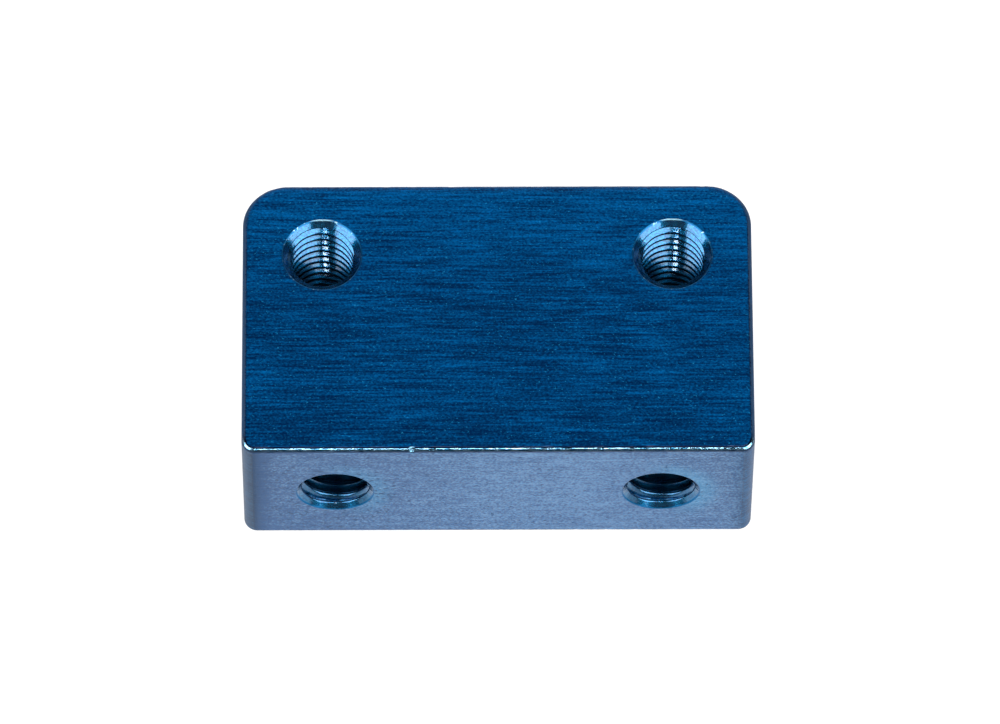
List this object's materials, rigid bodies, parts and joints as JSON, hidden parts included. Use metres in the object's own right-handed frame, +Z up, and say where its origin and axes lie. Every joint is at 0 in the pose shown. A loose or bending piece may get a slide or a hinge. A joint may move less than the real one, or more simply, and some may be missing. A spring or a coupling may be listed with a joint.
{
  "type": "machined mounting block",
  "caption": "Rectangular mounting block with rounded back corners, tapped right through from its top face and tapped blind into its front face.",
  "frame": {"origin": "centre of the bottom face, midway between the ends and midway between the front and back faces", "axes": "+X along the block's length, +Y from the front face with the blind holes to the back face with the large corner rounds, +Z up through the through holes to the top face"},
  "size_m": [0.034, 0.02, 0.012],
  "materials": {
    "anodised_blue": "blue anodised over a brushed surface, satin, with bare nicks along the broken edges"
  },
  "bodies": {
    "root": {"mounting_block": "anodised_blue"}
  },
  "joints": []
}
